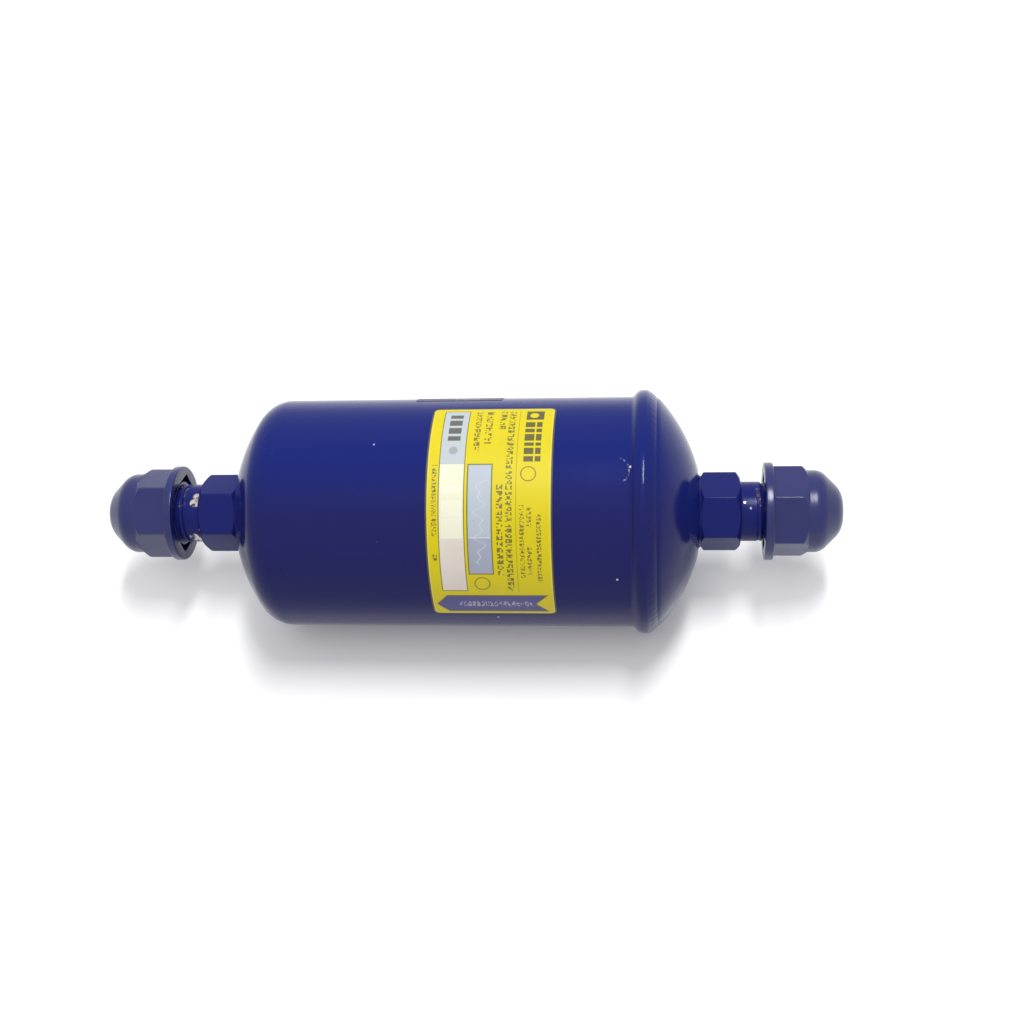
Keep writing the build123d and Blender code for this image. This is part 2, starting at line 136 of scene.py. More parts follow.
def eased(corners, reaches, steps=5):
    """An outline whose corners are rounded.

    corners is (m, n, 2): m corners of an outline of (x, radius), for n directions round the
    axis. Each corner with a reach becomes the parabola between the two points that lie that
    far along its sides: (1 - t)^2 a + 2 t (1 - t) corner + t^2 b.
    """
    rows = []
    for number, reach in enumerate(reaches):
        corner = corners[number]
        if reach == 0 or number in (0, len(corners) - 1):
            rows.append(corner[None])
            continue
        ends = []
        for other in (corners[number - 1], corners[number + 1]):
            side = other - corner
            length = np.linalg.norm(side, axis=1, keepdims=True)
            ends.append(corner + side * np.minimum(reach, 0.45 * length) / np.maximum(length, 1e-9))
        t = np.linspace(0, 1, steps + 1)[:, None, None]
        rows.append((1 - t) ** 2 * ends[0] + 2 * t * (1 - t) * corner + t**2 * ends[1])
    return np.concatenate(rows)


def even_turns(count):
    """Directions evenly round the axis."""
    return np.arange(count) * tau / count


def hexagon_turns(corner_turn, per_side):
    """Directions that crowd towards a hexagon's corners: each side runs over (3u - u^3) / 2."""
    u = (np.arange(per_side) / per_side) * 2 - 1
    side = (3 * u - u**3) / 2 * pi / 6
    middles = radians(corner_turn) + pi / 6 + np.arange(6) * pi / 3
    return (middles[:, None] + side[None]).ravel()


def hexagon(flat, edge, turns, corner_turn):
    """Distance from the axis to a hexagon: the soft minimum of flat / cos to its six sides."""
    middles = radians(corner_turn) + pi / 6 + np.arange(6) * pi / 3
    facing = np.cos(turns[:, None] - middles[None])
    sides = np.where(facing > 0.2, flat / np.maximum(facing, 0.2), 10 * flat)
    nearest = sides.min(axis=1)
    return nearest - edge * np.log(np.exp(-(sides - nearest[:, None]) / edge).sum(axis=1))


def thread(x, turns):
    """Height of a right-hand thread over its pitch cylinder: a wave of 2 pi x / pitch - turn."""
    phase = tau * x[:, None] / thread_pitch - turns[None]
    wave = 2 / pi * np.arcsin(0.985 * np.cos(phase))
    return np.clip(thread_flank * wave, -thread_root, thread_crest)


def surface(name, rows, turns, closed, mirror=False):
    """Mesh of a solid round the X axis.

    rows is (m, n, 2): for station m and direction n, the place along the axis and the
    distance from it, so a point is (x, radius cos turn, radius sin turn). A closed outline
    joins its last row to its first, and an open one starts and ends in a point on the axis.
    """
    x, radius = rows[..., 0], rows[..., 1]
    if mirror:
        x = -x
    points = np.stack([x, radius * np.cos(turns), radius * np.sin(turns)], axis=-1)
    count, around = radius.shape
    column = np.arange(around)
    following = (column + 1) % around
    if closed:
        lower = np.arange(count)
        upper = (lower + 1) % count
        vertices = points.reshape(-1, 3)
        fans = []
        start = 0
    else:
        lower = np.arange(count - 3)
        upper = lower + 1
        vertices = np.concatenate([points[:1, 0], points[1:-1].reshape(-1, 3), points[-1:, 0]])
        start = 1
        last = len(vertices) - 1
        base = 1 + (count - 3) * around
        first_fan = np.stack([np.zeros_like(column), 1 + following, 1 + column], axis=1)
        last_fan = np.stack([np.full_like(column, last), base + column, base + following], axis=1)
        fans = first_fan.tolist() + last_fan.tolist()
    a = start + lower[:, None] * around + column
    b = start + lower[:, None] * around + following
    c = start + upper[:, None] * around + following
    d = start + upper[:, None] * around + column
    quads = np.stack([a, b, c, d], axis=-1).reshape(-1, 4)
    return solid(name, vertices, quads.tolist() + fans)


def solid(name, vertices, faces):
    """Object of these points and faces, turned to face outwards, smooth up to 40 degrees."""
    mesh = bpy.data.meshes.new(name)
    mesh.from_pydata(vertices.tolist(), [], faces)
    mesh.update()
    if volume(mesh) < 0:
        mesh.flip_normals()
    mesh.polygons.foreach_set("use_smooth", np.ones(len(mesh.polygons), bool))
    mesh.set_sharp_from_angle(angle=radians(40))
    piece = bpy.data.objects.new(name, mesh)
    bpy.context.scene.collection.objects.link(piece)
    return piece


def volume(mesh):
    """Signed volume: a sixth of the sum of a . (b x c) over the triangles."""
    mesh.calc_loop_triangles()
    corners = np.empty(len(mesh.loop_triangles) * 3, np.int32)
    mesh.loop_triangles.foreach_get("vertices", corners)
    points = np.empty(len(mesh.vertices) * 3)
    mesh.vertices.foreach_get("co", points)
    a, b, c = points.reshape(-1, 3)[corners.reshape(-1, 3)].transpose(1, 0, 2)
    return (a * np.cross(b, c)).sum() / 6


def same_all_round(outline, turns):
    """An outline of (x, radius) repeated in every direction."""
    return np.repeat(outline[:, None], len(turns), axis=1)


def dished_end(tangent, side, crown, knuckle, inset, steps=14):
    """Dished end from its land to the barrel: the arc of the crown, then that of the knuckle."""
    centre = tangent - side * sqrt((crown - knuckle) ** 2 - (barrel - knuckle) ** 2)
    reach = sqrt(crown**2 - land_flat**2) - inset
    land_angle = acos(reach / (crown - inset))
    meet = asin((barrel - knuckle) / (crown - knuckle))
    crown_arc = arc(0, 0, crown - inset, land_angle, meet, steps)
    knuckle_arc = arc(0, barrel - knuckle, knuckle - inset, meet, pi / 2, steps)
    crown_arc[:, 0] = centre + side * crown_arc[:, 0]
    knuckle_arc[:, 0] = tangent + side * knuckle_arc[:, 0]
    return np.concatenate([crown_arc, knuckle_arc[1:]])


def dish_depth(crown, knuckle):
    """From the straight barrel to the land."""
    return sqrt(crown**2 - land_flat**2) - sqrt((crown - knuckle) ** 2 - (barrel - knuckle) ** 2)


# ---- canister --------------------------------------------------------------
shoulder = dish_depth(shoulder_crown, shoulder_knuckle) - land
end_tangent = land - dish_depth(end_crown, end_knuckle)
joggle_arcs = joggle_foot + joggle_crest + wall
joggle_run = (bell - barrel - joggle_arcs * (1 - cos(joggle_slope))) / sin(joggle_slope)
joggle_start = joggle_end - joggle_arcs * sin(joggle_slope) - joggle_run * cos(joggle_slope)
vessel_turns = even_turns(288)


def shell_side(inset):
    """The shell from its land to its lip: dish, barrel, joggle and bell."""
    up = arc(
        joggle_start, barrel + joggle_foot, joggle_foot + inset, -pi / 2, joggle_slope - pi / 2, 8
    )
    crest_centre = bell - joggle_crest - wall
    over = arc(
        joggle_end, crest_centre, joggle_crest + wall - inset, pi / 2 + joggle_slope, pi / 2, 8
    )
    dish = dished_end(shoulder, -1, shoulder_crown, shoulder_knuckle, inset)
    barrel_stations = np.linspace(shoulder, joggle_start, 12)[1:-1]
    straight = np.stack([barrel_stations, np.full(10, barrel - inset)], axis=1)
    return np.concatenate([dish, straight, up, over])


def make_shell():
    """Shell: the outer side, the round lip and the inner side, carried round the axis."""
    hole = spigot + spigot_gap
    outside, inside = shell_side(0), shell_side(wall)
    rim = arc(lip - lip_edge, bell - lip_edge, lip_edge, pi / 2, 0, 6)
    outline = np.concatenate([
        line((outside[0, 0], hole)),
        outside,
        rim,
        line((lip, bell - wall)),
        inside[::-1],
        line((inside[0, 0], hole)),
    ])
    return surface("canister_shell", same_all_round(outline, vessel_turns), vessel_turns, True)


def make_end_cap():
    """End cap: a dish with a short skirt that slips inside the bell."""
    hole = spigot + spigot_gap
    outside = dished_end(end_tangent, 1, end_crown, end_knuckle, 0)
    inside = dished_end(end_tangent, 1, end_crown, end_knuckle, wall)
    outline = np.concatenate([
        line((outside[0, 0], hole)),
        outside,
        line((joggle_end, barrel), (joggle_end, barrel - wall)),
        inside[::-1],
        line((inside[0, 0], hole)),
    ])
    return surface("canister_end", same_all_round(outline, vessel_turns), vessel_turns, True)


def make_seam_bead():
    """Weld bead: a smooth swell from the lip's round down to the dish, uneven round the seam."""
    turns = even_turns(432)
    upper = np.array((lip - bead_top_back, bell - bead_top_drop))
    lower = np.array((lip + bead_foot_reach, barrel - bead_foot_drop))
    run = lower - upper
    outward = np.array((-run[1], run[0])) / np.hypot(*run)
    t = np.linspace(0, 1, 13)[:, None, None]
    ripple = 0.10 * np.sin(72 * turns) + 0.16 * np.sin(5 * turns + 1) + 0.10 * np.sin(13 * turns)
    swell = bead_swell * 4 * t * (1 - t) * (1 + ripple[None, :, None])
    top = upper + run * t + outward * swell
    root = same_all_round(line((lip - 0.6 * mm, barrel + 0.1 * mm)), turns)
    return surface("seam_bead", np.concatenate([top, root]), turns, True)


# ---- fittings --------------------------------------------------------------
def make_fitting(side):
    """Flare fitting, one closed outline for each direction: spigot, collar, hexagon with
    turned chamfers, shank, thread, 45 degree seat and bore. The chamfers are cones, so they
    reach the hexagon at a station that depends on its radius there."""
    mirror = side == "outlet"
    turns = hexagon_turns(fitting_turn[side], 34)
    flat_radius = hexagon(hex_flat, hex_edge, turns, fitting_turn[side])
    corner_radius = hex_flat / cos(pi / 6)
    face = hex_flat - hex_face_drop
    back = hex_start + (flat_radius - hex_flat).clip(0) / (corner_radius - hex_flat) * hex_back_chamfer
    front = hex_end - (flat_radius - face) / (corner_radius - face) * hex_front_chamfer
    level = np.ones_like(turns)

    def at(x, radius):
        return np.stack([x * level, radius * level], axis=-1)

    turned = np.stack([
        at(spigot_end, bore + bore_edge),
        at(spigot_end, spigot),
        at(land, spigot),
        at(land, collar),
        at(hex_start, collar),
        at(hex_start, hex_flat - hex_foot_drop),
        at(back, flat_radius),
        at(front, flat_radius),
        at(hex_end, face),
        at(hex_end, shank),
        at(shank_end, shank),
    ])
    reaches = [0, 0, 0, 0, 0.2, 0.2, 0.25, 0.3, 0.35, 0.5, 0]
    body = eased(turned, [reach * mm for reach in reaches], 4)

    x = np.linspace(shank_end, stub_end, 150)[1:]
    outward = -x if mirror else x
    fade = np.clip((x - shank_end) / thread_run_out, 0, 1)[:, None] ** 1.5
    height = thread(outward, turns) * fade + (shank - thread_middle) * (1 - fade)
    seat = nose + stub_end - x
    radius = np.minimum(thread_middle + height, seat[:, None])
    stub = np.stack([x[:, None] * level, radius], axis=-1)
    bore_rows = np.stack([
        at(stub_end, bore + bore_edge),
        at(stub_end - bore_edge, bore),
        at(spigot_end + bore_edge, bore),
    ])
    rows = np.concatenate([body, stub, bore_rows])
    return surface(side + "_flare_fitting", rows, turns, True, mirror)


def make_braze(side):
    """Braze in the corner between land and fitting: a hollow arc, a little uneven."""
    mirror = side == "outlet"
    turns = even_turns(216)
    corner = hexagon(hex_flat, hex_edge, turns, fitting_turn[side])
    wander = 0.16 * np.sin(3 * turns + 0.7) + 0.1 * np.sin(7 * turns) + 0.05 * np.sin(17 * turns)
    t = np.linspace(0, 1, 11)[:, None]
    outer = braze + wander * mm
    inner = collar + (corner - hex_flat) * 0.25 + 0.5 * mm
    x = land + braze_height * t**2.2 * np.ones_like(turns)
    radius = outer + (inner - outer) * (1 - (1 - t) ** 1.7)
    top = np.stack([x, radius], axis=-1)
    inside = same_all_round(line((land + braze_height, collar), (land, collar)), turns)
    inside[..., 1] -= 0.02 * mm
    return surface(side + "_braze_fillet", np.concatenate([top, inside]), turns, True, mirror)


# ---- caps ------------------------------------------------------------------
def dome_outline():
    """Dome from its tip: a small flat, a round nose, a 45 degree flank and a round shoulder."""
    half = sqrt(0.5)
    flank = dome - dome_flat - dome_shoulder * (1 - half) - dome_nose * half
    height = dome_shoulder * half + flank + dome_nose * (1 - half)
    start = closure_end - height
    nose_arc = arc(closure_end - dome_nose, dome_flat, dome_nose, 0, pi / 4, 9)
    shoulder_arc = arc(start, dome - dome_shoulder, dome_shoulder, pi / 4, pi / 2, 9)
    return np.concatenate([line((closure_end, 0)), nose_arc, shoulder_arc])


def make_closure(side):
    """Hollow screwed cap, one outline for each direction from the tip of its dome outside to
    the bottom of its bore inside: dome, chamfered hexagon, flange, hexagonal pocket, sleeve,
    thread and the step that presses on the seal."""
    mirror = side == "outlet"
    turns = hexagon_turns(closure_turn[side], 34)
    outer = hexagon(closure_flat, closure_edge, turns, closure_turn[side])
    pocket = hexagon(closure_flat - closure_wall, closure_edge, turns, closure_turn[side])
    corner_radius = closure_flat / cos(pi / 6)
    level = np.ones_like(turns)

    def at(x, radius):
        return np.stack([x * level, radius * level], axis=-1)

    cylinder_end = closure_face + closure_hex_length + corner_radius - dome
    cone = cylinder_end - np.abs(outer - dome)
    floor = closure_face + pocket_depth
    tip = same_all_round(dome_outline(), turns)
    outside = np.stack([
        tip[-1],
        at(cylinder_end, dome),
        at(cone, outer),
        at(closure_face + flange_thickness, outer),
        at(closure_face + flange_thickness, flange),
        at(closure_face, flange),
        at(closure_face, pocket),
        at(floor, pocket),
        at(floor, sleeve),
        at(closure_face + sleeve_setback, sleeve),
        at(closure_face + sleeve_setback, thread_middle + thread_play),
    ])
    reaches = [0, 0.25, 0.3, 0.35, flange_edge / mm, flange_edge / mm, 0.25, 0.4, 0.25, 0.25, 0]
    hollow = eased(outside, [reach * mm for reach in reaches], 5)
    x = np.linspace(closure_face + sleeve_setback, closure_seat, 131)[1:]
    outward = -x if mirror else x
    fade = np.clip((x - x[0]) / thread_run_in, 0, 1)[:, None]
    radius = thread_middle + thread_play + thread(outward, turns) * fade
    screwed = np.stack([x[:, None] * level, radius], axis=-1)
    bottom = closure_end - nose_wall
    seat = np.stack([
        at(closure_seat, recess),
        at(bottom, recess),
        at(bottom, 0),
    ])
    rows = np.concatenate([tip[:-1], hollow, screwed, seat])
    return surface(side + "_flare_cap", rows, turns, False, mirror)


# ---- label and sticker -----------------------------------------------------
def make_film(name, low_x, width, height, corner, turn, thickness, across=40, around=96):
    """Film wrapped round the barrel. u and v run from -1 to 1 over its width and height, and
    near its ends a row is shorter by corner - sqrt(corner^2 - depth^2), which rounds the
    corners. The top is a grid at the film's outside, and the same grid lies at its inside."""
    v = np.sin(np.linspace(-pi / 2, pi / 2, around + 1))
    v = 0.5 * v + 0.5 * np.linspace(-1, 1, around + 1)
    along = v * height / 2
    depth = np.clip(np.abs(along) - (height / 2 - corner), 0, corner)
    half = width / 2 - (corner - np.sqrt(corner**2 - depth**2))
    u = np.linspace(-1, 1, across + 1)
    x = low_x + width / 2 + half[:, None] * u[None]
    angle = radians(turn) + along / barrel
    base = barrel + glue
    layers = []
    for radius in (base + thickness, base):
        y = radius * np.cos(angle)[:, None] * np.ones_like(x)
        z = radius * np.sin(angle)[:, None] * np.ones_like(x)
        layers.append(np.stack([x, y, z], axis=-1).reshape(-1, 3))
    wide, tall = across + 1, around + 1
    index = np.arange(wide * tall).reshape(tall, wide)
    cells = [index[:-1, :-1], index[:-1, 1:], index[1:, 1:], index[1:, :-1]]
    top = np.stack(cells, axis=-1).reshape(-1, 4)
    under = top[:, ::-1] + wide * tall
    border = np.concatenate([index[0], index[1:, -1], index[-1, -2::-1], index[-2:0:-1, 0]])
    after = np.roll(border, -1)
    edge = np.stack([after, border, border + wide * tall, after + wide * tall], axis=-1)
    faces = np.concatenate([top, under, edge])
    piece = solid(name, np.concatenate(layers), faces.tolist())
    flat = np.stack([(x - low_x) / width, np.repeat((along / height + 0.5)[:, None], wide, 1)], -1)
    flat = np.concatenate([flat.reshape(-1, 2)] * 2)
    corners = np.empty(len(piece.data.loops), np.int32)
    piece.data.loops.foreach_get("vertex_index", corners)
    layer = piece.data.uv_layers.new(name="film")
    layer.data.foreach_set("uv", flat[corners].astype(np.float32).ravel())
    return piece


# ---- shader maths ----------------------------------------------------------
class Value:
    """A number in a material's node tree. Its operators add Math nodes."""

    def __init__(self, finish, socket):
        self.finish = finish
        self.socket = socket

    def maths(self, operation, *others):
        return self.finish.number("ShaderNodeMath", {"operation": operation}, [self, *others])

    def __add__(self, other):
        return self.maths("ADD", other)

    __radd__ = __add__

    def __mul__(self, other):
        return self.maths("MULTIPLY", other)

    __rmul__ = __mul__

    def __sub__(self, other):
        return self.maths("SUBTRACT", other)

    def __rsub__(self, other):
        return (self * -1).maths("ADD", other)

    def __truediv__(self, other):
        return self.maths("DIVIDE", other)

    def __abs__(self):
        return self.maths("ABSOLUTE")

    def least(self, other):
        return self.maths("MINIMUM", other)

    def most(self, other):
        return self.maths("MAXIMUM", other)

    def floor(self):
        return self.maths("FLOOR")

    def fraction(self):
        return self.maths("FRACT")

    def root(self):
        return self.maths("SQRT")

    def over(self, low, high):
        """0 below low and 1 above high, smooth between them. High may be the lower one."""
        settings = {"interpolation_type": "SMOOTHSTEP"}
        return self.finish.number("ShaderNodeMapRange", settings, [self, low, high, 0.0, 1.0])


class Finish:
    """A material and its nodes. node() adds any node, and the rest are the ones used often."""

    def __init__(self, name):
        self.material = bpy.data.materials.new(name)
        self.material.use_nodes = True
        self.tree = self.material.node_tree
        self.tree.nodes.clear()

    def node(self, kind, settings=None, inputs=()):
        """Adds a node, sets its settings first and then its inputs, by number or by name."""
        made = self.tree.nodes.new(kind)
        for name, value in (settings or {}).items():
            setattr(made, name, value)
        pairs = inputs.items() if isinstance(inputs, dict) else enumerate(inputs)
        for name, value in pairs:
            if isinstance(value, Value):
                value = value.socket
            if isinstance(value, bpy.types.NodeSocket):
                self.tree.links.new(value, made.inputs[name])
            else:
                made.inputs[name].default_value = value
        return made

    def number(self, kind, settings, inputs):
        return Value(self, self.node(kind, settings, inputs).outputs[0])

    def place(self):
        """The point on the piece, in metres, and its three coordinates."""
        point = self.node("ShaderNodeTexCoord").outputs["Object"]
        parts = self.node("ShaderNodeSeparateXYZ", None, [point])
        return point, [Value(self, parts.outputs[number]) for number in range(3)]

    def noise(self, point, size, detail=3.0, roughness=0.5):
        """Noise between about 0 and 1, whose lumps are about that size in metres."""
        inputs = {"Vector": point, "Scale": 1 / size, "Detail": detail, "Roughness": roughness}
        return self.number("ShaderNodeTexNoise", {"noise_dimensions": "3D"}, inputs)

    def near(self, point, centre, radius, softness=0.4):
        """1 within radius of a point and 0 outside it."""
        inputs = [point, centre]
        away = self.node("ShaderNodeVectorMath", {"operation": "DISTANCE"}, inputs).outputs["Value"]
        return Value(self, away).over(radius, radius * (1 - softness))

    def mix(self, factor, first, second):
        """First colour where factor is 0 and second where it is 1."""
        made = self.node("ShaderNodeMix", {"data_type": "RGBA"}, {0: factor})
        for number, colour in ((6, first), (7, second)):
            if isinstance(colour, bpy.types.NodeSocket):
                self.tree.links.new(colour, made.inputs[number])
            else:
                made.inputs[number].default_value = (*colour, 1.0)
        return made.outputs[2]

    def bump(self, height, depth, strength):
        """Normal of a surface raised by height times depth, in metres."""
        inputs = {"Height": height, "Distance": depth, "Strength": strength}
        return self.node("ShaderNodeBump", None, inputs).outputs["Normal"]

    def shader(self, **sockets):
        """The Principled surface. A socket's name is written with _ for each space."""
        inputs = {}
        for name, value in sockets.items():
            if isinstance(value, tuple):
                value = (*value, 1.0)
            inputs[name.replace("_", " ")] = value
        return self.node("ShaderNodeBsdfPrincipled", None, inputs).outputs[0]

    def finished(self, surface):
        self.node("ShaderNodeOutputMaterial", None, {"Surface": surface})
        return self.material


def put_on(piece, material):
    """Gives the whole piece one material."""
    piece.data.materials.clear()
    piece.data.materials.append(material)


# ---- finishes --------------------------------------------------------------
# paint_violet_and_shade is a darker violet tone: painted shade on the canister's front, and a random tone
# on the fittings.
paint_blue = (0.0070, 0.0165, 0.167)
paint_violet_and_shade = (0.0140, 0.0152, 0.114)
bare_steel = (0.60, 0.53, 0.47)
straw_steel = (0.30, 0.19, 0.07)
# chip_and_glint_white is pale for chips, specks and a scuff, and for one painted glint on a fitting.
chip_and_glint_white = (0.62, 0.64, 0.72)


def round_axis(x, radius, turn):
    """Point at x along the axis, that far from it, turn degrees about X from +Y."""
    return (x * mm, radius * mm * cos(radians(turn)), radius * mm * sin(radians(turn)))


def any_of(masks):
    """The most of several masks."""
    whole = masks[0]
    for mask in masks[1:]:
        whole = whole.most(mask)
    return whole


def powder_coat():
    """Blue glossy powder coat with painted shade, darker and more violet to the front: orange peel,
    specks, chips and a scuff.
    """
    paint = Finish("blue_powder_coat")
    point, (x, y, _) = paint.place()
    drift = paint.noise(point, 60 * mm, 2)
    grain = paint.noise(point, 1.1 * mm, 2)
    specks = paint.noise(point, 0.55 * mm, 1).over(0.80, 0.86)
    chips = [
        paint.near(point, round_axis(53.1, 36.8, 101.8), 0.55 * mm),
        paint.near(point, round_axis(49.1, 36.5, 156.8), 0.45 * mm),
        paint.near(point, round_axis(-24.7, 36.5, 88.5), 0.35 * mm),
        paint.near(point, round_axis(11.6, 36.5, 186.4), 0.45 * mm),
    ]
    scuff_centre = round_axis(48.6, 36.5, 103.5)
    disc = paint.near(point, scuff_centre, 4.6 * mm, 0.06)
    ring = disc - paint.near(point, scuff_centre, 4.1 * mm, 0.06)
    scuff = ring.most(0) * x.over(49.5 * mm, 51.5 * mm) * grain.over(0.42, 0.6) * 0.35
    # Painted shade: blue at the back and top, darker violet to the front, with a little random drift.
    painted_shade = y.over(-26 * mm, -2 * mm) * 0.85 + drift * 0.15
    colour = paint.mix(painted_shade, paint_violet_and_shade, paint_blue)
    colour = paint.mix((specks * 0.25).most(any_of(chips) * 0.8).most(scuff), colour, chip_and_glint_white)
    peel = paint.noise(point, 2.2 * mm, 2) + grain * 0.25
    rough = 0.12 + drift * 0.05 + scuff * 0.4 + specks * 0.2
    surface = paint.shader(
        Base_Color=colour,
        Roughness=rough,
        IOR=1.2,
        Normal=paint.bump(peel, 0.035 * mm, 0.6),
    )
    return paint.finished(surface)


def fitting_paint():
    """The same paint sprayed over machined steel, thin and rubbed off on the neck's edges, with one
    painted glint on the outlet hexagon.
    """
    paint = Finish("painted_machined_steel")
    point, (x, y, z) = paint.place()
    radius = (y * y + z * z).root()
    station = abs(x)
    cloud = paint.noise(point, 2.4 * mm, 4, 0.6)
    grain = paint.noise(point, 0.7 * mm, 2)
    neck = station.over(hex_end + 0.2 * mm, hex_end + 0.6 * mm)
    thread_zone = station.over(shank_end - 0.3 * mm, shank_end + 0.5 * mm)
    crest = radius.over(thread_middle + 0.12 * mm, thread_middle + 0.42 * mm)
    worn = [
        paint.near(point, round_axis(-88.2, 9.4, 103.0), 1.7 * mm, 0.25),
        paint.near(point, round_axis(-87.6, 9.4, 89.0), 1.5 * mm, 0.3),
        paint.near(point, round_axis(-89.3, 9.4, 178.0), 1.7 * mm, 0.25),
        paint.near(point, round_axis(-88.3, 9.4, 190.0), 1.9 * mm, 0.25),
        paint.near(point, round_axis(87.8, 9.4, 105.7), 0.5 * mm, 0.4),
        paint.near(point, round_axis(89.7, 9.4, 117.3), 0.45 * mm, 0.4),
    ]
    rubbed = any_of(worn) * cloud.over(0.40, 0.52) * neck
    # Painted glint: a small pale spot on the outlet hexagon's outer end, where a highlight falls.
    painted_glint = paint.near(point, round_axis(-86.3, 11.3, 152.0), 0.45 * mm)
    shown = thread_zone * crest * cloud.over(0.52, 0.62) * z.over(7 * mm, 9 * mm)
    bare = rubbed.most(shown * 0.75)
    inside = radius.over(bore + 0.5 * mm, bore + 0.2 * mm)
    colour = paint.mix(cloud * 0.6 + 0.2, paint_violet_and_shade, paint_blue)
    metal = paint.mix(thread_zone, bare_steel, straw_steel)
    exposed = bare.most(inside * 0.9)
    colour = paint.mix(exposed, colour, metal)
    colour = paint.mix(painted_glint, colour, chip_and_glint_white)
    surface = paint.shader(
        Base_Color=colour,
        Metallic=exposed * 0.85,
        Roughness=0.2 + grain * 0.1 + bare * 0.14,
        IOR=1.2,
        Normal=paint.bump(cloud + grain * 0.3, 0.03 * mm, 0.6),
    )
    return paint.finished(surface)


def cap_moulding():
    """Glossy blue-violet moulded plastic with faint flow and handling marks."""
    plastic = Finish("blue_moulded_plastic")
    point, _ = plastic.place()
    flow = plastic.noise(point, 9 * mm, 3)
    grain = plastic.noise(point, 0.5 * mm, 2)
    rubs = plastic.noise(point, 1.6 * mm, 5, 0.7).over(0.66, 0.8)
    colour = plastic.mix(flow, (0.0090, 0.0125, 0.105), (0.0085, 0.0150, 0.128))
    colour = plastic.mix(rubs * 0.12, colour, (0.16, 0.17, 0.32))
    surface = plastic.shader(
        Base_Color=colour,
        Roughness=0.22 + flow * 0.08 + rubs * 0.15,
        IOR=1.49,
        Normal=plastic.bump(grain + flow * 2, 0.012 * mm, 0.5),
    )
    return plastic.finished(surface)


# ---- printed films ---------------------------------------------------------
yellow = (0.71, 0.59, 0.004)
dark_print = (0.055, 0.052, 0.035)
edge_pale = (0.80, 0.76, 0.42)
header_grey = (0.50, 0.55, 0.58)
cream = (0.83, 0.82, 0.62)
paper_pink = (0.78, 0.71, 0.64)
box_grey = (0.47, 0.53, 0.60)
box_lower = (0.38, 0.41, 0.52)
arrow_slate = (0.085, 0.083, 0.25)
arrow_print = (0.48, 0.47, 0.60)
blur = 0.12                     # softness of a printed edge, in mm


class Print:
    """A film's artwork: fields and rules laid over a ground, in mm from its upper left corner."""

    def __init__(self, finish, width, height, ground):
        coordinates = finish.node("ShaderNodeUVMap", {"uv_map": "film"}).outputs["UV"]
        parts = finish.node("ShaderNodeSeparateXYZ", None, [coordinates])
        self.finish = finish
        self.x = Value(finish, parts.outputs[0]) * width
        self.y = Value(finish, parts.outputs[1]) * height
        self.colour = ground

    def field(self, left, right, top, bottom):
        """1 inside a rectangle."""
        across = abs(self.x - (left + right) / 2) - (right - left) / 2
        down = abs(self.y - (top + bottom) / 2) - (bottom - top) / 2
        return across.most(down).over(blur, -blur)

    def disc(self, x, y, radius):
        """1 inside a circle."""
        across, down = self.x - x, self.y - y
        return (across * across + down * down).root().over(radius + blur, radius - blur)

    def lay(self, mask, colour, strength=1.0):
        """Prints a colour where the mask is 1."""
        self.colour = self.finish.mix(mask * strength, self.colour, colour)

    def framed(self, left, right, top, bottom, colour, line_width=0.32):
        """A field with a dark keyline round it."""
        rim = self.field(left - line_width, right + line_width, top - line_width, bottom + line_width)
        self.lay(rim, dark_print, 0.8)
        self.lay(self.field(left, right, top, bottom), colour)

    def ring(self, x, y, radius, line_width=0.35):
        """A plain circle."""
        whole = self.disc(x, y, radius)
        self.lay(whole - self.disc(x, y, radius - line_width), dark_print, 0.75)

    def roll(self, *cells):
        """A random number for each cell, between 0 and 1."""
        cell = self.finish.node("ShaderNodeCombineXYZ", None, cells).outputs[0]
        return self.finish.number("ShaderNodeTexWhiteNoise", None, {"Vector": cell})

    def lettering(self, column, rows, step, seed, fill=0.55, kept=0.85, colour=None, strength=0.8):
        """A column of small random marks that reads as print from afar and says nothing.

        Each mark is step long and is cut into 3 by 4 cells, of which a random part is inked.
        Whole words of 5 marks are left out at random.
        """
        (left, right), (top, bottom) = column, rows
        along = (self.y - top) / step
        mark = along.fraction()
        inked = self.roll((along * 3).floor(), ((self.x - left) * (4 / (right - left))).floor(), seed)
        gap = mark.over(0.04, 0.12) * mark.over(0.90, 0.80)
        word = self.roll((along / 5).floor(), 0.0, seed + 0.5).over(kept, kept - 0.01)
        mask = self.field(left, right, top, bottom) * inked.over(1 - fill, 1.05 - fill) * gap * word
        self.lay(mask, colour or dark_print, strength)

    def bars(self, column, rows, widths, colour=None, strength=0.9):
        """A row of plain bars down the film, each width followed by a narrow gap."""
        (left, right), (top, bottom) = column, rows
        scale = (bottom - top) / sum(widths)
        start = top
        for number, width in enumerate(widths):
            if number % 2 == 0:
                bar = self.field(left, right, start, start + width * scale)
                self.lay(bar, colour or dark_print, strength)
            start += width * scale


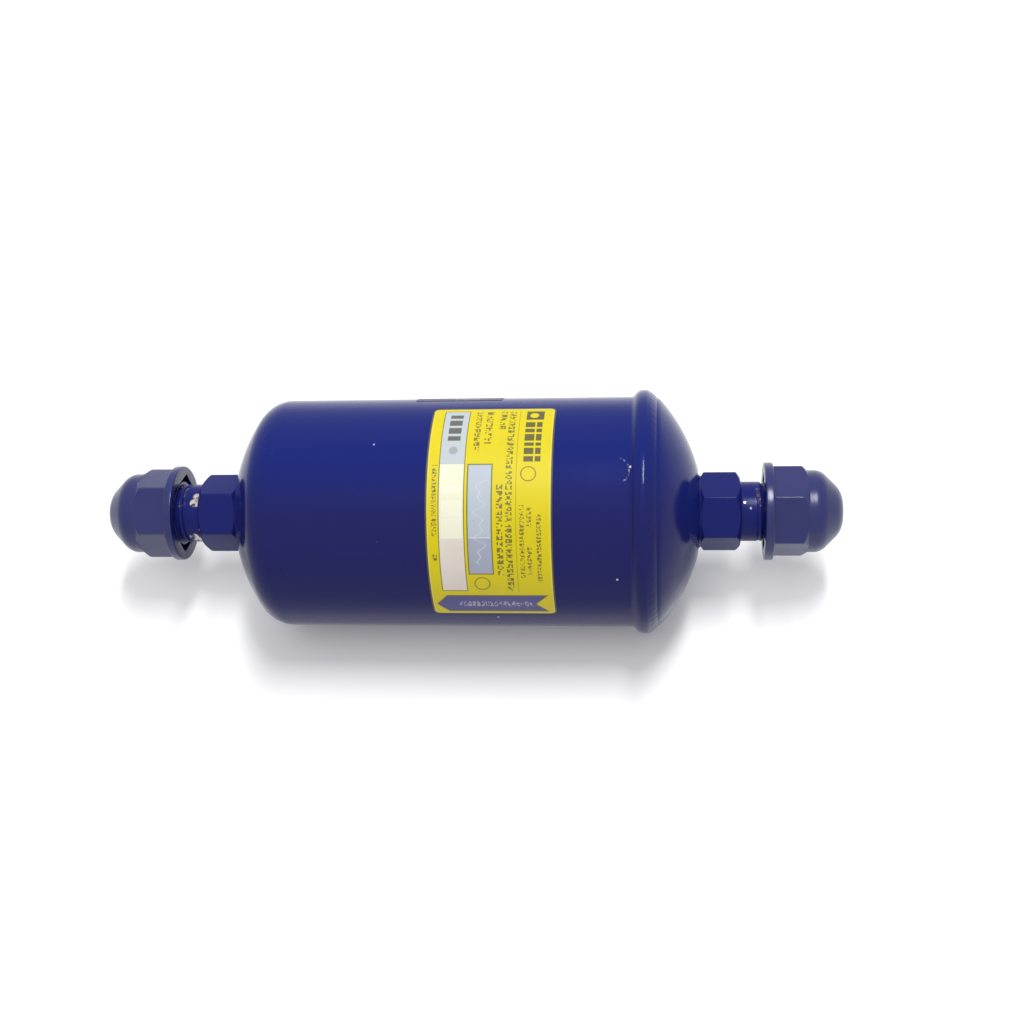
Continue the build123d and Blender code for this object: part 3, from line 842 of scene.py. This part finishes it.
def label_print():
    """Yellow film: a pale rim, a column of panels, a framed box, rules, rings and an arrow."""
    film = Finish("yellow_label_film")
    art = Print(film, label_width / mm, label_height / mm, yellow)
    width, height = label_width / mm, label_height / mm
    corner = label_corner / mm
    across = (abs(art.x - width / 2) - (width / 2 - corner)).most(0)
    down = (abs(art.y - height / 2) - (height / 2 - corner)).most(0)
    from_edge = corner - (across * across + down * down).root()
    straight = (width / 2 - abs(art.x - width / 2)).least(height / 2 - abs(art.y - height / 2))
    from_edge = from_edge.least(straight)

    art.framed(4.2, 11.5, 2.2, 64.5, cream)
    art.lay(art.field(4.2, 11.5, 2.2, 24.0), header_grey)
    art.lay(art.field(4.2, 11.5, 46.6, 64.5), paper_pink)
    for top, bottom in ((31.0, 32.9), (35.0, 40.3), (40.3, 46.6)):
        art.lay(art.field(4.9, 11.1, top + 0.2, bottom), (0.90, 0.89, 0.72), 0.6)
    art.lay(art.field(4.6, 11.0, 46.3, 46.8), (0.93, 0.92, 0.80), 0.5)
    art.lay(art.field(4.2, 11.5, 23.9, 24.15), dark_print, 0.25)
    art.framed(12.9, 19.8, 24.4, 58.1, box_grey, 0.4)
    art.lay(art.field(12.9, 19.8, 46.7, 58.1), box_lower)
    art.lay(art.field(13.4, 19.4, 46.35, 46.7), (0.72, 0.76, 0.80), 0.6)

    art.lettering((13.9, 15.7), (2.3, 23.2), 1.75, 1, 0.58, 0.80)
    art.lettering((17.1, 19.2), (2.3, 17.0), 2.0, 2, 0.58, 0.80)
    art.lettering((21.4, 23.3), (2.0, 64.2), 1.9, 3, 0.60, 0.84)
    art.lettering((24.1, 26.1), (2.0, 64.8), 1.6, 4, 0.62, 0.95)
    art.lay(art.field(27.2, 27.4, 2.0, 65.0), dark_print, 0.5)
    art.lay(art.field(29.3, 34.7, 2.2, 6.9), dark_print, 0.92)
    art.lay(art.disc(31.7, 4.6, 1.35), yellow)
    art.bars((29.3, 34.4), (8.1, 23.4), (2.3, 0.7, 1.5, 0.7, 2.6, 0.7, 1.2, 0.7, 2.2, 0.7, 1.8))
    art.lay(art.field(32.2, 32.7, 7.8, 23.6), yellow)
    art.bars((5.9, 9.8), (4.2, 15.8), (1.6, 0.9, 2.2, 0.9, 2.2, 0.9, 1.6), dark_print, 0.85)
    art.lay(art.disc(7.9, 19.4, 1.35), dark_print, 0.35)
    art.lettering((28.3, 29.7), (31.0, 61.5), 1.15, 6, 0.52, 0.80)
    art.lettering((30.5, 31.9), (31.4, 58.5), 1.2, 7, 0.52, 0.78)
    art.lettering((33.4, 34.8), (39.5, 64.4), 1.1, 8, 0.58, 0.92)
    art.lettering((1.9, 3.3), (24.2, 54.0), 1.1, 9, 0.58, 0.86)
    pencil = art.x - 16.4 - (art.y * 1.25).maths("SINE") * (art.y * 0.33).maths("COSINE") * 1.9
    stroke = abs(pencil).over(0.30, 0.12) * art.field(13.6, 19.0, 29.0, 55.0)
    art.lay(stroke, (0.62, 0.66, 0.72), 0.7)
    art.ring(30.9, 27.3, 2.4)
    art.ring(16.4, 61.9, 2.45)

    middle = 70.7
    half_height = 3.7
    away = abs(art.y - middle)
    tip = (art.x - 1.9) * (half_height / 3.2)
    notch = (35.3 - art.x) * -1 + (half_height - away) * 0.95
    inside = (away - half_height).most(away - tip).most(notch)
    art.lay(inside.over(0.45 + blur, 0.45 - blur), dark_print, 0.8)
    art.lay(inside.over(blur, -blur), arrow_slate)
    art.x, art.y = art.y, art.x
    art.lettering((69.5, 71.9), (8.4, 31.4), 1.35, 10, 0.55, 1.1, arrow_print, 0.75)
    art.x, art.y = art.y, art.x

    art.lay(from_edge.over(0.95, 0.75), edge_pale, 0.30)
    art.lay(from_edge.over(0.58, 0.42), (0.03, 0.028, 0.02), 0.92)

    point, _ = film.place()
    grain = film.noise(point, 0.8 * mm, 3)
    soil = film.noise(point, 14 * mm, 4, 0.6)
    colour = film.mix(soil.over(0.5, 0.8) * 0.10, art.colour, (0.25, 0.22, 0.10))
    surface = film.shader(
        Base_Color=colour,
        Roughness=0.42 + grain * 0.12,
        IOR=1.4,
        Normal=film.bump(grain, 0.01 * mm, 0.5),
    )
    return film.finished(surface)


def sticker_print():
    """Dark film with worn pale flecks, where lines of print would be."""
    film = Finish("dark_sticker_film")
    art = Print(film, sticker_width / mm, sticker_height / mm, (0.045, 0.050, 0.105))
    point, _ = film.place()
    grain = film.noise(point, 0.7 * mm, 4, 0.7)
    patch = art.field(12.5, 20.5, 3.0, 15.0)
    art.lay(patch * grain.over(0.50, 0.62), (0.60, 0.62, 0.70), 0.8)
    art.lay(art.field(9.5, 24.0, 0.6, 2.2) * grain.over(0.50, 0.60), (0.70, 0.72, 0.78), 0.7)
    art.lay(art.field(1.5, 9.0, 6.0, 7.2) * grain.over(0.45, 0.6), (0.30, 0.31, 0.40), 0.6)
    art.lay(art.field(1.5, 7.0, 9.0, 10.0) * grain.over(0.45, 0.6), (0.30, 0.31, 0.40), 0.6)
    surface = film.shader(Base_Color=art.colour, Roughness=0.38 + grain * 0.15, IOR=1.46)
    return film.finished(surface)


# ---- inner pieces ----------------------------------------------------------
def rubber():
    """Black seal rubber."""
    finish = Finish("seal_rubber")
    point, _ = finish.place()
    grain = finish.noise(point, 0.6 * mm, 4)
    colour = finish.mix(grain, (0.010, 0.010, 0.011), (0.022, 0.021, 0.021))
    normal = finish.bump(grain, 0.03 * mm, 0.5)
    surface = finish.shader(Base_Color=colour, Roughness=0.55 + grain * 0.2, Normal=normal)
    return finish.finished(surface)


def plated_sheet(name, pale, dark):
    """Pressed steel sheet with a cloudy plated skin."""
    finish = Finish(name)
    point, _ = finish.place()
    cloud = finish.noise(point, 7 * mm, 5, 0.6)
    grain = finish.noise(point, 0.6 * mm, 3)
    colour = finish.mix(cloud, dark, pale)
    surface = finish.shader(
        Base_Color=colour,
        Metallic=1.0,
        Roughness=0.26 + cloud * 0.16,
        Normal=finish.bump(grain, 0.015 * mm, 0.5),
    )
    return finish.finished(surface)


def woven_wire():
    """Plain-woven screen: two sets of wires, one over the other by turns, with painted shade dark in the
    gaps between them.
    """
    finish = Finish("woven_wire_screen")
    _, (_, y, z) = finish.place()
    pitch = 0.75 * mm
    warp = (y * (tau / pitch)).maths("SINE")
    weft = (z * (tau / pitch)).maths("SINE")
    height = abs(warp).most(abs(weft))
    # Painted shade: dark in the gaps between the wires, pale metal on their tops.
    colour = finish.mix(height, (0.05, 0.05, 0.05), (0.52, 0.50, 0.46))
    surface = finish.shader(
        Base_Color=colour,
        Metallic=height.over(0.4, 0.7),
        Roughness=0.34,
        Normal=finish.bump(height, 0.2 * mm, 0.7),
    )
    return finish.finished(surface)


def felt(name, pale, dark, fibre):
    """Pressed fibre: fine streaks over soft lumps."""
    finish = Finish(name)
    point, _ = finish.place()
    lumps = finish.noise(point, 4 * mm, 4)
    hairs = finish.noise(point, fibre, 6, 0.7)
    colour = finish.mix(lumps * 0.5 + hairs * 0.5, dark, pale)
    surface = finish.shader(
        Base_Color=colour,
        Roughness=0.95,
        Normal=finish.bump(hairs, 0.3 * mm, 0.8),
    )
    return finish.finished(surface)


def moulded_desiccant():
    """Moulded block of small pale beads in a binder."""
    finish = Finish("moulded_desiccant")
    point, _ = finish.place()
    inputs = {"Vector": point, "Scale": 1 / (1.3 * mm)}
    cells = finish.node("ShaderNodeTexVoronoi", {"feature": "F1"}, inputs)
    bead = Value(finish, cells.outputs["Distance"])
    cloud = finish.noise(point, 12 * mm, 4)
    colour = finish.mix(bead.over(0.2, 0.7), (0.74, 0.67, 0.55), (0.40, 0.33, 0.25))
    colour = finish.mix(cloud * 0.3, colour, (0.60, 0.47, 0.36))
    normal = finish.bump(1 - bead, 0.3 * mm, 0.8)
    surface = finish.shader(Base_Color=colour, Roughness=0.9, Normal=normal)
    return finish.finished(surface)


# ---- the object ------------------------------------------------------------
paint = powder_coat()
fitting_finish = fitting_paint()
plastic = cap_moulding()

made = [
    (make_shell(), paint, "vessel", "blue_paint", "shell"),
    (make_end_cap(), paint, "vessel", "blue_paint", "end_cap"),
    (make_seam_bead(), paint, "vessel", "blue_paint", "seam_weld"),
]
for side in ("inlet", "outlet"):
    made += [
        (make_fitting(side), fitting_finish, "vessel", "painted_steel", side + "_fitting"),
        (make_braze(side), fitting_finish, "vessel", "painted_steel", side + "_braze"),
        (make_closure(side), plastic, side + "_cap", "cap_plastic", side + "_cap"),
    ]
label_size = (label_low.x, label_width, label_height, label_corner, label_turn, label_film)
sticker_size = (
    sticker_low.x, sticker_width, sticker_height, sticker_corner, sticker_turn, sticker_film
)
made += [
    (make_film("canister_label", *label_size), label_print(), "vessel", "label_film", "label"),
    (make_film("dark_sticker", *sticker_size), sticker_print(), "vessel", "sticker_film", "date_sticker"),
]
for piece, material, body, slot, node in made:
    put_on(piece, material)
    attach(piece, body)
    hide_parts(node)

plate = plated_sheet("plated_sheet", (0.62, 0.60, 0.55), (0.42, 0.41, 0.40))
for node, material in {
    "inlet_seal": rubber(),
    "outlet_seal": rubber(),
    "support_plate": plate,
    "spring_plate": plate,
    "outlet_screen": woven_wire(),
    "filter_pad": felt("polyester_pad", (0.86, 0.85, 0.82), (0.66, 0.65, 0.62), 0.5 * mm),
    "core_gasket": felt("ring_felt", (0.55, 0.50, 0.42), (0.35, 0.31, 0.26), 0.8 * mm),
    "desiccant_core": moulded_desiccant(),
    "spring": plated_sheet("spring_wire", (0.42, 0.41, 0.40), (0.24, 0.24, 0.25)),
}.items():
    put_on(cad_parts[node], material)


# ---- floor, light and camera -----------------------------------------------
floor_size = 6.0
floor_shown, floor_glow, floor_lit = 0.95, 0.14, 0.80
far_start, far_end = 0.30, 0.70          # where the floor fades to white, from the middle
sky = 0.30
background_rays = ("Is Glossy Ray", "Is Transmission Ray", "Is Camera Ray")


def by_ray(finish, background, other):
    """The first surface to the camera, mirrors and glass, and the second to all other rays."""
    path = finish.node("ShaderNodeLightPath")
    mirrored, through, direct = [Value(finish, path.outputs[ray]) for ray in background_rays]
    seen = finish.node("ShaderNodeMixShader", None, [mirrored, other, background]).outputs[0]
    direct = direct.most(through)
    return finish.node("ShaderNodeMixShader", None, [direct, seen, background]).outputs[0]


def make_floor():
    """A wide pale floor that the bell rests on, which fades to white far from the object. The
    camera, mirrors and glass see it a little lifted, with the object's shadow on it."""
    mesh = bpy.data.meshes.new("floor")
    corners = [(-1, -1), (1, -1), (1, 1), (-1, 1)]
    points = [(x * floor_size, y * floor_size, -bell) for x, y in corners]
    mesh.from_pydata(points, [], [(0, 1, 2, 3)])
    floor = bpy.data.objects.new("floor", mesh)
    bpy.context.scene.collection.objects.link(floor)
    finish = Finish("pale_floor")

    def plain(tone):
        return finish.node("ShaderNodeBsdfDiffuse", None, {"Color": (tone, tone, tone, 1)}).outputs[0]

    def glow(strength):
        inputs = {"Color": (1, 1, 1, 1), "Strength": strength}
        return finish.node("ShaderNodeEmission", None, inputs).outputs[0]

    lifted = finish.node("ShaderNodeAddShader", None, [plain(floor_shown), glow(floor_glow)]).outputs[0]
    _, (x, y, _) = finish.place()
    far = (x * x + y * y).root().over(far_start, far_end)
    shown = finish.node("ShaderNodeMixShader", None, [far, lifted, glow(1.0)]).outputs[0]
    mesh.materials.append(finish.finished(by_ray(finish, shown, plain(floor_lit))))


def make_world():
    """White to the camera, mirrors and glass, and a dim sky to everything else."""
    world = bpy.data.worlds.new("studio")
    world.use_nodes = True
    bpy.context.scene.world = world
    tree = world.node_tree
    tree.nodes.clear()
    path = tree.nodes.new("ShaderNodeLightPath")
    output = tree.nodes.new("ShaderNodeOutputWorld")

    def background(strength):
        made = tree.nodes.new("ShaderNodeBackground")
        made.inputs["Color"].default_value = (1, 1, 1, 1)
        made.inputs["Strength"].default_value = strength
        return made.outputs[0]

    seen, white = background(sky), background(1.0)
    for ray in background_rays:
        mix = tree.nodes.new("ShaderNodeMixShader")
        for number, socket in enumerate((path.outputs[ray], seen, white)):
            tree.links.new(socket, mix.inputs[number])
        seen = mix.outputs[0]
    tree.links.new(seen, output.inputs[0])


def make_lamp(name, place, size, power, mirrored=True):
    """Soft box that wide along X and that tall across it, facing the middle of the object.

    A lamp that isn't mirrored gives its light and shows in no reflection.
    """
    light = bpy.data.lights.new(name, "AREA")
    light.shape = "RECTANGLE"
    light.size, light.size_y = size
    light.energy = power
    lamp = bpy.data.objects.new(name, light)
    back = Vector(place).normalized()
    across = Vector((1, 0, 0)).cross(back).normalized()
    facing = Matrix((across.cross(back), across, back)).transposed()
    lamp.matrix_world = Matrix.Translation(place) @ facing.to_4x4()
    lamp.visible_glossy = mirrored
    bpy.context.scene.collection.objects.link(lamp)


def make_camera():
    """Camera that looks down at the object from the front, a little from the inlet's side."""
    elevation, swing, roll = radians(57), radians(6.35), radians(0.18)
    focal = 1480 / 1024             # focal length over the picture's width
    distance, sideways, middle = 477 * mm, 9.8 * mm, 4.3 * mm
    away = Vector((0, cos(elevation), -sin(elevation)))
    upward = Vector((0, sin(elevation), cos(elevation)))
    rightward = cos(swing) * Vector((1, 0, 0)) + sin(swing) * away
    forward = -sin(swing) * Vector((1, 0, 0)) + cos(swing) * away
    place = Vector((middle, 0, 0)) + sideways * rightward - distance * forward
    turned = Matrix((rightward, upward, -forward)).transposed() @ Matrix.Rotation(-roll, 3, "Z")
    data = bpy.data.cameras.new("camera")
    data.sensor_width = 36
    data.lens = focal * data.sensor_width
    data.clip_start = 0.01
    camera = bpy.data.objects.new("camera", data)
    camera.matrix_world = Matrix.Translation(place) @ turned.to_4x4()
    bpy.context.scene.collection.objects.link(camera)
    bpy.context.scene.camera = camera


make_floor()
make_world()
make_lamp("overhead", (0.165, 0.09, 1.19), (0.12, 0.44), 8.5)
make_lamp("behind", (-0.1, 1.0, 0.75), (0.9, 0.5), 3.8, False)
make_lamp("front", (0.0, -0.40, 1.15), (0.8, 0.5), 3.6, False)
make_camera()
bpy.context.scene.view_settings.view_transform = "Standard"
